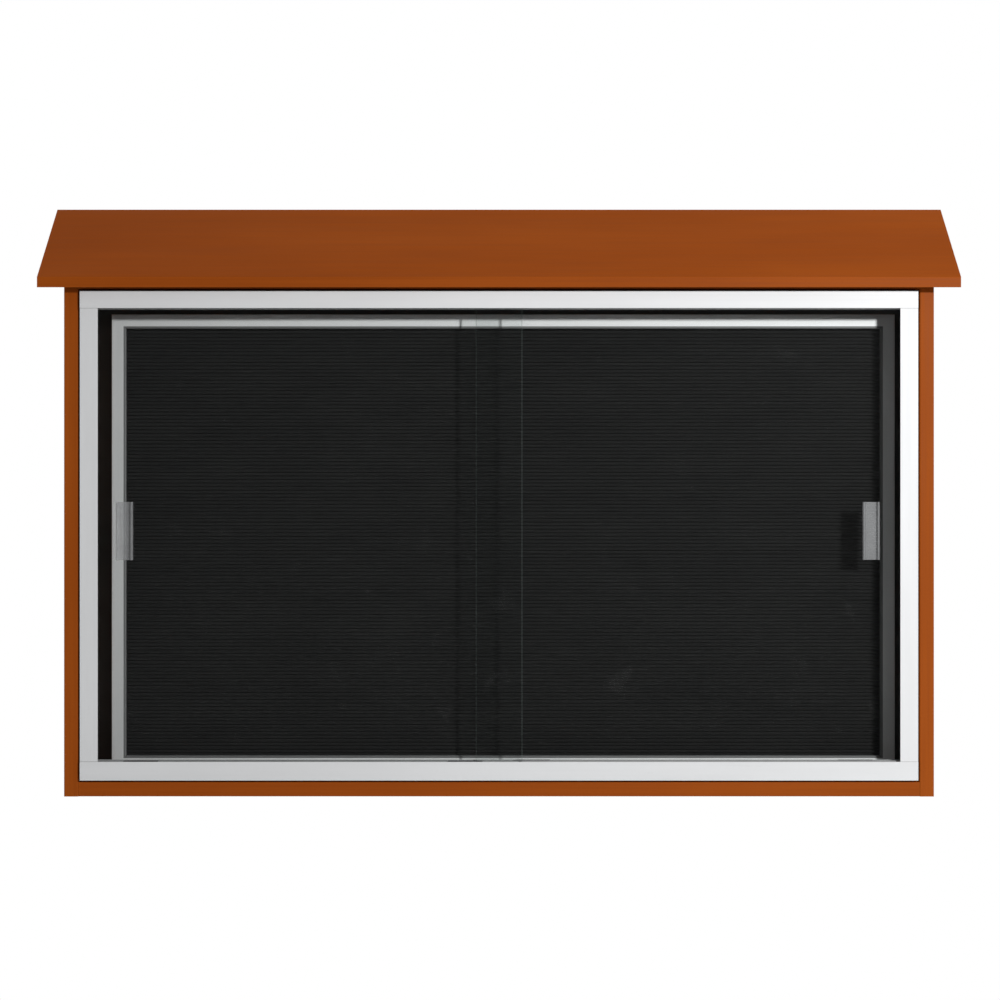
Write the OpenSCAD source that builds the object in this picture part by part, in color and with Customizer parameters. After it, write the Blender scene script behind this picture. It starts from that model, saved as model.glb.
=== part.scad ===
/* [Cabinet] */
// Width over the two side boards
cab_w = 1524; // [1200:1:1900]
// Height at the front, from the bottom to where the roof begins
cab_h = 914.4; // [760:0.1:1200]
// Depth from the back face to the front edges of the boards
cab_d = 114.3; // [112:0.1:150]
// Thickness of the cabinet boards
board_t = 25.4; // [18:0.1:38]
// Thickness of the back panel
back_t = 12.7; // [9:0.1:18]
// Radius of the eased board edges
board_edge = 2; // [0.5:0.1:4]

/* [Roof] */
// Thickness of the roof board
roof_t = 13.5; // [12:0.1:25]
// Slope of the roof in degrees
roof_pitch = 45; // [38:1:52]
// Overhang past each side board
roof_side = 40; // [10:1:80]
// Overhang in front of the cabinet
roof_front = 27; // [14:0.5:60]
// Radius of the lower front edge and of the ridge
roof_edge = 0.8; // [0.3:0.1:2]
// Height of the cleat under the ridge
cleat_h = 38; // [25:1:50]
// Depth of the cleat under the ridge
cleat_d = 25; // [15:1:40]
// Free space from the ends of the cleat to the roof brackets
cleat_gap = 2; // [1:0.5:20]
// Leg of the roof bracket angle
bracket_leg = 22; // [16:1:30]
// Thickness of the roof bracket angle
bracket_t = 2.5; // [1.5:0.1:4]
// Free space before and behind each roof bracket
bracket_gap = 6; // [2:1:12]

/* [Face frame] */
// Distance that the frame stands in front of the boards
frame_proud = 6; // [2:0.5:10]
// Distance of the stile faces behind the faces of the tracks
stile_step = 0.8; // [0.2:0.1:1.2]
// Thickness of the packers between the frame and each side board
frame_side_pack = 3.8; // [1:0.1:5]
// Thickness of the packers under the frame
frame_low_pack = 3.6; // [1:0.1:5]
// Thickness of the packers above the frame
frame_top_pack = 4.5; // [1:0.1:6]
// Length of a packer
packer_l = 30; // [15:1:60]
// Width of a packer
packer_w = 14; // [9:1:15]
// Face width of the stiles
stile_face = 31; // [26:0.1:45]
// Face height of the upper track
upper_face = 29.7; // [27:0.1:45]
// Face height of the lower track
lower_face = 32.5; // [20:0.5:45]
// Wall thickness of the extrusions
wall = 1.6; // [1.2:0.1:2.4]
// Clear width of one glass slot
slot_w = 10; // [9.6:0.1:13]
// Width of the hollow fin between the two slots
mid_fin = 5; // [4:0.1:8]
// Length of the fins of the stiles
stile_fin = 18; // [12:0.5:24]
// Depth of the upper slots
upper_slot = 20; // [18:0.5:26]
// Depth of the lower slots
lower_slot = 9; // [8:0.5:14]
// Depth of the screw flange behind the slots
flange = 16; // [13:0.5:16]

/* [Sliding doors] */
// Thickness of the glass
glass_t = 5; // [4:0.1:6]
// Overlap of the two panes in the middle when both are shut
pane_overlap = 81; // [40:1:160]
// How far the glass reaches up into the upper track
glass_catch = 11; // [8:0.5:14]
// Radius of the ground corners of the glass
glass_corner = 2; // [1:0.5:6]
// Running gap between moving and fixed faces
run_gap = 0.3; // [0.2:0.05:0.5]
// Thickness of the slot liners
liner_t = 1.2; // [0.8:0.1:1.4]
// Thickness of the rubber bumper strips
bumper_t = 3; // [2:0.5:6]
// Length of one glide shoe
glide_l = 60; // [30:1:100]
// Distance of a glide shoe from the edge of its pane
glide_inset = 70; // [20:1:150]
// Thickness of a glide shoe under the glass
glide_base = 3; // [2:0.1:4]
// Height of the cheeks of a glide shoe beside the glass
glide_cheek = 5; // [3:0.5:8]

/* [Finger pulls] */
// Width of a pull
pull_w = 29; // [20:0.5:45]
// Height of a pull
pull_h = 101.5; // [60:0.5:160]
// Thickness of the plate of a pull
pull_t = 2; // [1.5:0.1:3]
// Depth of a pull with its two ridges
pull_d = 7; // [6.5:0.1:8]
// Width of each ridge at its foot
pull_ridge = 5.5; // [4:0.1:7]
// Distance of the left pull from the edge of the stile face
left_pull_gap = 32.5; // [15:0.5:80]
// Distance of the right pull from the edge of the stile face
right_pull_gap = 33.5; // [15:0.5:80]
// Height of the centre of the pulls above the bottom of the cabinet
pull_z = 465; // [350:1:600]

/* [Letter board] */
// Free space between the letter board and the side boards, on average
lb_side_space = 38.1; // [34:0.1:120]
// Free space under the letter board
lb_low_space = 12.2; // [10:0.1:60]
// Free space above the letter board, which lets it be lifted off its clips
lb_high_space = 38.6; // [30:0.1:90]
// Distance of the letter board to the right of the centre
lb_shift = 7.5; // [-10:0.5:10]
// Face width of the letter board frame
lb_face = 25.4; // [22:0.1:35]
// Wall of the letter board frame
lb_wall = 1.5; // [1.2:0.1:2]
// Radius of the rounded edges of the letter board frame
lb_round = 1.2; // [0.6:0.1:4]
// Lap of the panel behind the frame face
lb_lap = 9; // [6:0.5:11]
// Reach of the rear lip of the frame behind the backing
lb_hold = 6; // [3:0.5:8]
// Thickness of the rear lip of the frame
lb_lip = 1; // [0.8:0.1:1.5]
// Leg of the corner keys of the frame
key_l = 45; // [25:1:70]
// Distance of the ribbed surface behind the frame face
lb_recess = 8; // [5:0.5:12]
// Thickness of the ribbed panel
panel_t = 9; // [7:0.5:12]
// Thickness of the backing sheet
backing_t = 4; // [3:0.5:6]
// Distance from groove to groove
groove_pitch = 6.35; // [6:0.05:12]
// Width of a groove
groove_w = 1.8; // [1.2:0.1:2.4]
// Depth of a groove
groove_d = 4; // [2:0.1:5]
// Bevel along the edges of each rib
rib_bevel = 1; // [0.4:0.1:1.4]

/* [Hanging of the letter board] */
// Thickness of the battens
batten_t = 19.05; // [16:0.05:21]
// Height of a batten
batten_h = 38; // [30:1:50]
// Distance from the ends of the battens to the edges of the letter board
batten_end = 123.5; // [112:0.5:250]
// Distance of the lower batten from the lower edge of the letter board
batten_inset = 45; // [40:1:60]
// Distance from the ends of the hanging clips to the ends of the battens
clip_end = 75; // [10:1:200]
// Thickness of the hanging clips
clip_t = 2; // [1.5:0.1:2]
// Height of the flat plate of a hanging clip
clip_h = 20; // [16:1:24]
// Length of the tongue of a hanging clip
clip_tongue = 9; // [6:0.5:12]
// Free space between the upper hanging clip and the letter board frame
clip_drop = 2; // [1:0.5:6]
// Diameter of the rubber pads behind the lower edge
pad_d = 25; // [15:1:30]

/* [Fastening] */
// Distance of the wall bolts from each other, across
bolt_x = 1219.2; // [900:0.1:1250]
// Distance of the wall bolts from each other, up and down
bolt_z = 609.6; // [380:0.1:615]
// Diameter of the holes for the wall bolts
bolt_hole_d = 9; // [6:0.5:14]
// Diameter of the shank of a board screw
screw_d = 5; // [3.5:0.1:6]
// Diameter of the head of a board screw
screw_head_d = 9.5; // [8:0.1:11]
// Length of a board screw
screw_l = 60; // [45:1:75]
// Diameter of the shank of a small screw
small_d = 3.5; // [2.5:0.1:4]
// Diameter of the head of a small screw
small_head_d = 7; // [6:0.1:8]
// Height of the head of a small screw
small_head_h = 1.6; // [1:0.1:2]
// Distance of the cabinet screws from the front and back edges of the boards
screw_margin = 28; // [20:0.5:40]
// Length of the screws of the face frame
frame_screw_l = 18; // [12:0.5:24]
// Length of the screws of the roof brackets
bracket_screw_l = 12; // [8:0.5:14]
// Depth to which the clip screws bite into the ribbed panel
panel_bite = 3; // [2:0.5:4]
// Lumber left under the point of a batten screw
screw_cover = 3; // [2:0.5:6]
// Radial clearance round the screws
screw_clear = 0.1; // [0.05:0.01:0.2]

/* [Hidden] */
$fn = 32;

lumber = [0.58, 0.27, 0.10];
alloy = [0.80, 0.81, 0.82];
dark = [0.12, 0.12, 0.12];
rubber = [0.08, 0.08, 0.08];
clear_glass = [0.80, 0.90, 0.90, 0.35];
grey_plastic = [0.55, 0.56, 0.57];
steel = [0.62, 0.62, 0.64];

// Cabinet: y is 0 on the back face and negative towards the front, z is 0 between the wall bolts
y_front = -cab_d;
y_inside = -back_t;
z_low = -cab_h / 2;
z_top = cab_h / 2;
inner_w = cab_w - 2 * board_t;
side_x = inner_w / 2;
z_floor = z_low + board_t;
z_ceiling = z_top - board_t;
rise = tan(roof_pitch);
roof_plumb = roof_t / cos(roof_pitch);
roof_w = cab_w + 2 * roof_side;
z_ridge = z_top + cab_d * rise;

// Face frame
frame_x = side_x - frame_side_pack;
frame_bottom = z_floor + frame_low_pack;
frame_top = z_ceiling - frame_top_pack;
opening_low = frame_bottom + lower_face;
opening_high = frame_top - upper_face;
frame_y = y_front - frame_proud;
slot_front = frame_y + wall;
fin_front = slot_front + slot_w;
slot_rear = fin_front + mid_fin;
fin_rear = slot_rear + slot_w;
frame_depth = wall + 2 * slot_w + mid_fin + wall + flange;
face_x = frame_x - stile_face;
stile_front = frame_y + stile_step;
upper_ceiling = opening_high + upper_slot;
lower_floor = opening_low - lower_slot;

// Doors
glass_front_y = slot_front + slot_w / 2;
glass_rear_y = slot_rear + slot_w / 2;
pane_edge = frame_x - wall - bumper_t - run_gap;
pane_w = pane_edge + pane_overlap / 2;
glide_bottom = lower_floor + liner_t + run_gap;
pane_low = glide_bottom + glide_base;
pane_high = opening_high + glass_catch;
pane_h = pane_high - pane_low;
glide_w = slot_w - 2 * liner_t - 2 * run_gap;
pull_middle = z_low + pull_z;

// Letter board: the stack from the back panel to its ribbed front is added up from its layers
clip_gap = 2 * clip_t + 3 * run_gap;
batten_y = y_inside - batten_t;
backing_y = batten_y - clip_gap;
panel_y = backing_y - backing_t;
ribs_y = panel_y - panel_t;
lb_y = ribs_y - lb_recess;
lb_depth = lb_recess + panel_t + backing_t + lb_lip;
lb_w = inner_w - 2 * lb_side_space;
lb_z = z_floor + lb_low_space;
lb_h = z_ceiling - lb_high_space - lb_z;
lb_open_w = lb_w - 2 * lb_face;
lb_open_h = lb_h - 2 * lb_face;
panel_w = lb_open_w + 2 * lb_lap;
panel_h = lb_open_h + 2 * lb_lap;
groove_count = floor(lb_open_h / groove_pitch);
batten_l = lb_w - 2 * batten_end;
clip_l = batten_l - 2 * clip_end;
batten_low_z = lb_z + batten_inset;
clip_z = lb_z + lb_h - lb_face - 2 * clip_h - clip_tongue - run_gap - clip_drop;
batten_high_z = clip_z + clip_h / 2;

// Screw places
small_l = back_t + batten_t - screw_cover;
side_screw_y = [-screw_margin, y_front + screw_margin];
cut_past = 1;
back_screw_x = [for (i = [-2:2]) i * inner_w / 5];
batten_screw_x = [for (i = [-1.5:1.5]) i * batten_l / 4.4];
clip_screw_x = [for (i = [-2:2]) i * clip_l / 4.4];
stile_screw_z = [for (i = [-1.5:1.5]) i * (opening_high - opening_low) / 4.4];
rail_screw_x = [for (i = [-1.5:1.5]) i * frame_x / 2.2];
flange_y = fin_rear + wall + flange / 2;
clip_screw_l = clip_t + backing_t + panel_bite;
bracket_start = bracket_leg / rise + bracket_gap;
bracket_end = (cab_d - back_t - bracket_leg * sin(roof_pitch)) / cos(roof_pitch) - bracket_gap;
bracket_holes = [for (share = [0.2, 0.8]) bracket_start + share * (bracket_end - bracket_start)];

// Rounds the corners of an outline: r holds one radius for each point, 0 keeps the corner sharp
function unit(v) = v / norm(v);
function corner(a, b, c, r, n) =
    r == 0 ? [b] :
    let (u = unit(a - b), v = unit(c - b), half = acos(u * v) / 2)
    let (middle = b + unit(u + v) * r / sin(half))
    let (from = b + u * r / tan(half) - middle, to = b + v * r / tan(half) - middle)
    let (start = atan2(from[1], from[0]), sweep = atan2(to[1], to[0]) - start)
    let (turn = sweep > 180 ? sweep - 360 : sweep < -180 ? sweep + 360 : sweep)
    [for (i = [0:n]) middle + r * [cos(start + turn * i / n), sin(start + turn * i / n)]];
function rounded(p, r, n = 3) = [
    for (i = [0:len(p) - 1])
        each corner(p[(i + len(p) - 1) % len(p)], p[i], p[(i + 1) % len(p)], r[i], n)
];

// Runs an outline drawn in y and z along x, from x = -length / 2 to length / 2
module along_x(length) {
    translate([-length / 2, 0, 0])
        rotate([90, 0, 90])
            linear_extrude(length)
                children();
}

// Box from one corner to the opposite one
module block(low, high) {
    translate(low)
        cube(high - low);
}

// Screw with a flat countersunk head, its head face on z = 0 and its point down
module flat_screw(length, shank, head, clear = 0) {
    cone = (head - shank) / 2;
    translate([0, 0, -length - clear])
        cylinder(h = length + clear, d = shank + 2 * clear, $fn = 24);
    translate([0, 0, -cone])
        cylinder(h = cone, d1 = shank + 2 * clear, d2 = head + 2 * clear, $fn = 24);
    if (clear > 0)
        cylinder(h = cut_past, d = head + 2 * clear, $fn = 24);
}

// Screw with a low round head above z = 0
module pan_screw(length, clear = 0) {
    into_head = clear == 0 ? small_head_h / 2 : cut_past;
    translate([0, 0, -length - clear])
        cylinder(h = length + clear + into_head, d = small_d + 2 * clear, $fn = 24);
    if (clear == 0)
        cylinder(h = small_head_h, d1 = small_head_d, d2 = small_head_d * 0.7, $fn = 24);
}

// Lumber with eased long edges, running along x
module eased_board(length, low_y, low_z, high_y, high_z) {
    outline = [[low_y, low_z], [high_y, low_z], [high_y, high_z], [low_y, high_z]];
    along_x(length)
        polygon(rounded(outline, [board_edge, 0, 0, board_edge]));
}

module side_screws(side, clear = 0) {
    for (y = side_screw_y)
        for (z = [z_low + board_t / 2, z_top - board_t / 2])
            translate([side * (side_x + board_t), y, z])
                rotate([0, side * 90, 0])
                    flat_screw(screw_l, screw_d, screw_head_d, clear);
}

module back_row(clear = 0) {
    for (x = back_screw_x)
        for (z = [z_low + board_t / 2, z_top - board_t / 2, z_ridge - cleat_h / 2 - cleat_d * rise])
            translate([x, 0, z])
                rotate([-90, 0, 0])
                    flat_screw(back_t + cleat_d * 0.7, small_d, small_head_d, clear);
}

module stile_screws(side, clear = 0) {
    for (z = stile_screw_z)
        translate([side * (frame_x - wall), flange_y, z + (opening_high + opening_low) / 2])
            rotate([0, -side * 90, 0])
                pan_screw(frame_screw_l, clear);
}

module rail_screws(z, turn, clear = 0) {
    for (x = rail_screw_x)
        translate([x, flange_y, z])
            rotate([turn, 0, 0])
                pan_screw(frame_screw_l, clear);
}

module batten_row(z, clear = 0) {
    for (x = batten_screw_x)
        translate([x, batten_y, z])
            rotate([90, 0, 0])
                flat_screw(small_l, small_d, small_head_d, clear);
}

// Side board with its top end cut to the slope of the roof
module side_board(side) {
    outline = [[y_front, z_low], [0, z_low], [0, z_ridge], [y_front, z_top]];
    plan = [
        [side_x, y_front], [side_x + board_t, y_front], [side_x + board_t, 0], [side_x, 0]
    ];
    color(lumber)
        difference() {
            intersection() {
                mirror([side < 0 ? 1 : 0, 0, 0])
                    translate([0, 0, z_low])
                        linear_extrude(z_ridge - z_low)
                            polygon(rounded(plan, [board_edge, board_edge, board_edge, 0]));
                along_x(cab_w + 2)
                    polygon(outline);
            }
            side_screws(side, screw_clear);
            stile_screws(side, screw_clear);
            bracket_side_screws(side, screw_clear);
        }
}

module left_side_board() { side_board(-1); }

module right_side_board() { side_board(1); }

module bottom_board() {
    color(lumber)
        difference() {
            eased_board(inner_w, y_front, z_low, y_inside, z_floor);
            side_screws(-1, screw_clear);
            side_screws(1, screw_clear);
            back_row(screw_clear);
            rail_screws(frame_bottom + wall, 0, screw_clear);
        }
}

module top_board() {
    color(lumber)
        difference() {
            along_x(inner_w)
                polygon([
                    [y_front, z_ceiling], [y_inside, z_ceiling], [y_inside, z_top], [y_front, z_top]
                ]);
            side_screws(-1, screw_clear);
            side_screws(1, screw_clear);
            back_row(screw_clear);
            rail_screws(frame_top - wall, 180, screw_clear);
        }
}

// Roof board: both long edges are cut plumb, and the upper front edge is eased
module roof_board() {
    low = z_top - roof_front * rise;
    outline = [
        [y_front - roof_front, low], [0, z_ridge],
        [0, z_ridge + roof_plumb], [y_front - roof_front, low + roof_plumb]
    ];
    color(lumber)
        difference() {
            along_x(roof_w)
                polygon(rounded(outline, [roof_edge, 0, roof_edge, board_edge]));
            for (side = [-1, 1])
                bracket_roof_screws(side, screw_clear);
        }
}

module back_panel() {
    outline = [
        [y_inside, z_low], [0, z_low], [0, z_ridge], [y_inside, z_ridge - back_t * rise]
    ];
    color(dark)
        difference() {
            along_x(inner_w)
                polygon(outline);
            for (x = [-1, 1])
                for (z = [-1, 1])
                    translate([x * bolt_x / 2, 1, z * bolt_z / 2])
                        rotate([90, 0, 0])
                            cylinder(h = back_t + 2, d = bolt_hole_d);
            back_row(screw_clear);
            batten_row(batten_low_z, screw_clear);
            batten_row(batten_high_z, screw_clear);
        }
}

// Cleat in the corner of the back panel and the roof, its top planed to the slope
module roof_cleat() {
    top = z_ridge - back_t * rise;
    outline = [
        [y_inside - cleat_d, top - cleat_d * rise - cleat_h], [y_inside, top - cleat_d * rise - cleat_h],
        [y_inside, top], [y_inside - cleat_d, top - cleat_d * rise]
    ];
    color(lumber)
        difference() {
            along_x(inner_w - 2 * bracket_leg - 2 * cleat_gap)
                polygon(outline);
            back_row(screw_clear);
        }
}

// Puts its children on the underside of the roof, x across, y up the slope, z square to the roof
module on_slope() {
    translate([0, y_front, z_top])
        rotate([roof_pitch, 0, 0])
            children();
}

module bracket_roof_screws(side, clear = 0) {
    on_slope()
        for (y = bracket_holes)
            translate([side * (side_x - bracket_leg / 2), y, -bracket_t])
                rotate([180, 0, 0])
                    pan_screw(bracket_screw_l, clear);
}

module bracket_side_screws(side, clear = 0) {
    on_slope()
        for (y = bracket_holes)
            translate([side * (side_x - bracket_t), y, -bracket_leg * 0.6])
                rotate([0, -side * 90, 0])
                    pan_screw(bracket_screw_l, clear);
}

// Angles that hold the roof to the side boards, hidden above the top board
module roof_brackets() {
    tip = [side_x, bracket_end, 0];
    color(alloy)
        for (side = [-1, 1])
            difference() {
                on_slope()
                    mirror([side < 0 ? 1 : 0, 0, 0])
                        union() {
                            block([side_x - bracket_leg, bracket_start, -bracket_t], tip);
                            block([side_x - bracket_t, bracket_start, -bracket_leg], tip);
                        }
                bracket_roof_screws(side, screw_clear);
                bracket_side_screws(side, screw_clear);
            }
}

// Hollow fin between the two slots, drawn from its root on y = 0 to its tip
module hollow_fin(length, root) {
    difference() {
        translate([0, -root])
            square([mid_fin, length + root]);
        translate([wall, -root])
            square([mid_fin - 2 * wall, length + root - wall]);
    }
}

// Upper track: face, top web, slot ceilings and fins of one extrusion
module upper_track() {
    color(alloy)
        difference() {
            along_x(2 * frame_x)
                union() {
                    translate([frame_y, opening_high])
                        square([wall, upper_face]);
                    translate([frame_y, frame_top - wall])
                        square([frame_depth, wall]);
                    translate([frame_y, upper_ceiling])
                        square([fin_rear + wall - frame_y, wall]);
                    translate([fin_front, opening_high])
                        square([wall, frame_top - opening_high]);
                    translate([slot_rear - wall, opening_high])
                        square([wall, frame_top - opening_high]);
                    translate([fin_front, opening_high])
                        square([mid_fin, wall]);
                    translate([fin_rear, opening_high])
                        square([wall, upper_face]);
                }
            rail_screws(frame_top - wall, 180, screw_clear);
        }
}

// Lower track: face, bottom web, slot floors and fins of one extrusion
module lower_track() {
    color(alloy)
        difference() {
            along_x(2 * frame_x)
                union() {
                    translate([frame_y, frame_bottom])
                        square([wall, lower_face]);
                    translate([frame_y, frame_bottom])
                        square([frame_depth, wall]);
                    translate([frame_y, lower_floor - wall])
                        square([fin_rear + wall - frame_y, wall]);
                    translate([fin_front, frame_bottom])
                        square([wall, lower_face]);
                    translate([slot_rear - wall, frame_bottom])
                        square([wall, lower_face]);
                    translate([fin_front, opening_low - wall])
                        square([mid_fin, wall]);
                    translate([fin_rear, frame_bottom])
                        square([wall, lower_face]);
                }
            rail_screws(frame_bottom + wall, 0, screw_clear);
        }
}

// Stile: face, outer web and the fins that guard the edges of the glass
module stile(side) {
    color(alloy)
        difference() {
            mirror([side < 0 ? 1 : 0, 0, 0])
                translate([0, 0, opening_low])
                    linear_extrude(opening_high - opening_low)
                        union() {
                            translate([face_x, stile_front])
                                square([stile_face, wall]);
                            translate([frame_x - wall, stile_front])
                                square([wall, frame_depth - stile_step]);
                            translate([frame_x - stile_fin, fin_front])
                                square([stile_fin, wall]);
                            translate([frame_x - stile_fin, slot_rear - wall])
                                square([stile_fin, wall]);
                            translate([frame_x - stile_fin, fin_front])
                                square([wall, mid_fin]);
                            translate([frame_x - stile_fin, fin_rear])
                                square([stile_fin, wall]);
                        }
            stile_screws(side, screw_clear);
        }
}

module left_stile() { stile(-1); }

module right_stile() { stile(1); }

// Packer round one frame screw, drawn with its inner face on z = 0 and its thickness upwards
module packer(thickness) {
    difference() {
        translate([-packer_l / 2, -packer_w / 2, 0])
            cube([packer_l, packer_w, thickness]);
        translate([0, 0, -cut_past])
            cylinder(h = thickness + 2 * cut_past, d = small_d + 2 * screw_clear, $fn = 24);
    }
}

// Packers that fill the space between the face frame and the cabinet boards at the screws
module frame_packers() {
    color(rubber) {
        for (side = [-1, 1])
            for (z = stile_screw_z)
                translate([side * frame_x, flange_y, z + (opening_high + opening_low) / 2])
                    rotate([0, side * 90, 0])
                        packer(frame_side_pack);
        for (x = rail_screw_x) {
            translate([x, flange_y, frame_top])
                packer(frame_top_pack);
            translate([x, flange_y, z_floor])
                packer(frame_low_pack);
        }
    }
}

// Plastic channels that line the slots of a track
module slot_liners(slot_depth) {
    for (y = [slot_front, slot_rear])
        translate([y, 0])
            difference() {
                square([slot_w, slot_depth]);
                translate([liner_t, liner_t])
                    square([slot_w - 2 * liner_t, slot_depth]);
            }
}

module upper_liner() {
    color(rubber)
        along_x(2 * frame_x)
            translate([0, upper_ceiling])
                mirror([0, 1])
                    slot_liners(upper_slot - 1);
}

module lower_liner() {
    color(rubber)
        along_x(2 * frame_x)
            translate([0, lower_floor])
                slot_liners(lower_slot - 1);
}

// Rubber strips at the bottom of the stile slots, which stop the doors
module bumper(side) {
    height = opening_high - opening_low - 2 * run_gap;
    width = slot_w - 2 * run_gap - stile_step;
    color(rubber)
        mirror([side < 0 ? 1 : 0, 0, 0])
            for (y = [slot_front, slot_rear])
                translate([frame_x - wall - bumper_t, y + run_gap + stile_step, opening_low + run_gap])
                    cube([bumper_t, width, height]);
}

module left_bumper() { bumper(-1); }

module right_bumper() { bumper(1); }

// Pane drawn in its own plane, its shut edge at -pane_edge, with ground corners
module pane(y) {
    outline = [
        [-pane_edge, pane_low], [pane_w - pane_edge, pane_low],
        [pane_w - pane_edge, pane_high], [-pane_edge, pane_high]
    ];
    r = glass_corner;
    color(clear_glass)
        translate([0, y + glass_t / 2, 0])
            rotate([90, 0, 0])
                linear_extrude(glass_t)
                    polygon(rounded(outline, [r, r, r, r]));
}

module left_glass() { pane(glass_front_y); }

module right_glass() {
    mirror([1, 0, 0])
        pane(glass_rear_y);
}

// Finger pull: a plate with a rounded ridge along each upright edge and a dish between them
module pull(y) {
    w = pull_w;
    d = pull_d;
    outline = [
        [0, 0], [w, 0], [w, -d], [w - pull_ridge * 0.6, -d], [w - pull_ridge, -pull_t],
        [pull_ridge, -pull_t], [pull_ridge * 0.6, -d], [0, -d]
    ];
    color(grey_plastic)
        translate([0, y - glass_t / 2, pull_middle - pull_h / 2])
            linear_extrude(pull_h)
                polygon(rounded(outline, [0, 0, 1.5, 1, 0.8, 0.8, 1, 1.5]));
}

module left_pull() {
    translate([-face_x + left_pull_gap, 0, 0])
        pull(glass_front_y);
}

module right_pull() {
    translate([face_x - right_pull_gap - pull_w, 0, 0])
        pull(glass_rear_y);
}

// Glide shoes clipped on the lower edge of a pane
module glides(y) {
    color(rubber)
        for (x = [-pane_edge + glide_inset, pane_w - pane_edge - glide_inset - glide_l])
            difference() {
                block([x, y - glide_w / 2, glide_bottom],
                    [x + glide_l, y + glide_w / 2, pane_low + glide_cheek]);
                block([x - 1, y - glass_t / 2, pane_low],
                    [x + glide_l + 1, y + glass_t / 2, pane_low + glide_cheek + 1]);
            }
}

module left_glides() { glides(glass_front_y); }

module right_glides() {
    mirror([1, 0, 0])
        glides(glass_rear_y);
}

module batten(z) {
    color(lumber)
        difference() {
            translate([0, 0, z])
                along_x(batten_l)
                    translate([batten_y, -batten_h / 2])
                        square([batten_t, batten_h]);
            batten_row(z, screw_clear);
            children();
        }
}

module top_batten() {
    batten(batten_high_z)
        rail_clip_screws(screw_clear);
}

module bottom_batten() { batten(batten_low_z); }

// Outline of one hanging clip: a plate, a step and a tongue that points up
module clip_outline() {
    square([clip_t, clip_h]);
    translate([-clip_t - 2 * run_gap, clip_h - clip_t])
        square([2 * (clip_t + run_gap), clip_t]);
    translate([-clip_t - 2 * run_gap, clip_h - clip_t])
        square([clip_t, clip_tongue + clip_t]);
}

module hanger_rail() {
    color(alloy)
        difference() {
            along_x(clip_l)
                translate([batten_y - clip_t, clip_z])
                    clip_outline();
            rail_clip_screws(screw_clear);
        }
}

module board_clip() {
    color(alloy)
        difference() {
            along_x(clip_l)
                translate([backing_y + clip_t, clip_z + 2 * clip_h + clip_tongue + run_gap])
                    rotate(180)
                        clip_outline();
            board_clip_screws(screw_clear);
        }
}

module rail_clip_screws(clear = 0) {
    for (x = clip_screw_x)
        translate([x, batten_y - clip_t, clip_z + clip_h * 0.4])
            rotate([90, 0, 0])
                pan_screw(clip_screw_l, clear);
}

module board_clip_screws(clear = 0) {
    for (x = clip_screw_x)
        translate([x, backing_y + clip_t, clip_z + clip_h * 1.6 + clip_tongue + run_gap])
            rotate([-90, 0, 0])
                pan_screw(clip_screw_l, clear);
}

// Rubber pads that keep the lower edge of the letter board off its batten
module board_pads() {
    color(rubber)
        for (x = clip_screw_x)
            translate([x, batten_y, batten_low_z])
                rotate([90, 0, 0])
                    cylinder(h = clip_gap - run_gap, d = pad_d);
}

// Ribbed panel: the front carries one horizontal groove after another, each with bevelled lips
module letter_panel() {
    first = lb_z + lb_face + (lb_open_h - (groove_count - 1) * groove_pitch) / 2;
    bottom = lb_z + lb_face - lb_lap;
    half = groove_w / 2;
    grooves = [
        for (i = [0:groove_count - 1])
            let (z = first + i * groove_pitch)
            each [
                [ribs_y, z - half - rib_bevel], [ribs_y + rib_bevel, z - half],
                [ribs_y + groove_d, z - half], [ribs_y + groove_d, z + half],
                [ribs_y + rib_bevel, z + half], [ribs_y, z + half + rib_bevel]
            ]
    ];
    color(dark)
        difference() {
            translate([lb_shift, 0, 0])
                along_x(panel_w)
                    polygon(concat(
                        [[panel_y, bottom], [ribs_y, bottom]],
                        grooves,
                        [[ribs_y, bottom + panel_h], [panel_y, bottom + panel_h]]
                    ));
            board_clip_screws(screw_clear);
        }
}

module letter_backing() {
    bottom = lb_z + lb_face - lb_lap;
    color(dark)
        difference() {
            translate([lb_shift, 0, 0])
                along_x(panel_w)
                    translate([panel_y, bottom])
                        square([backing_t, panel_h]);
            board_clip_screws(screw_clear);
        }
}

// Section of the letter board frame: u runs from the outer edge inwards, v from the face backwards
module frame_section() {
    outer = [[0, 0], [lb_face, 0], [lb_face, lb_recess], [0, lb_recess]];
    inner = [
        [lb_wall, lb_wall], [lb_face - lb_wall, lb_wall],
        [lb_face - lb_wall, lb_recess + 1], [lb_wall, lb_recess + 1]
    ];
    r = lb_round;
    i = lb_round - lb_wall > 0 ? lb_round - lb_wall : 0;
    difference() {
        polygon(rounded(outer, [r, r, 0, 0], 5));
        polygon(rounded(inner, [i, i, 0, 0], 5));
    }
    translate([0, lb_recess - 1])
        square([lb_wall, lb_depth - lb_recess + 1]);
    translate([0, lb_depth - lb_lip])
        square([lb_face - lb_lap + lb_hold, lb_lip]);
}

// One side of the frame along x, on the lower edge, with both ends mitred
module frame_side(length) {
    reach = lb_face + 1;
    intersection() {
        translate([-length / 2, 0, 0])
            rotate([90, 0, 90])
                linear_extrude(length)
                    mirror([1, -1])
                        frame_section();
        rotate([90, 0, 0])
            translate([0, 0, -lb_depth - 1])
                linear_extrude(lb_depth + 2)
                    polygon([
                        [-length / 2, 0], [length / 2, 0],
                        [length / 2 - reach, reach], [-length / 2 + reach, reach]
                    ]);
    }
}

module place_side(turn, out) {
    color(alloy)
        translate([lb_shift, lb_y, lb_z + lb_h / 2])
            rotate([0, turn, 0])
                translate([0, 0, -out])
                    children();
}

module board_frame_bottom() { place_side(0, lb_h / 2) frame_side(lb_w); }

module board_frame_left() { place_side(90, lb_w / 2) frame_side(lb_h); }

module board_frame_top() { place_side(180, lb_h / 2) frame_side(lb_w); }

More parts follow.
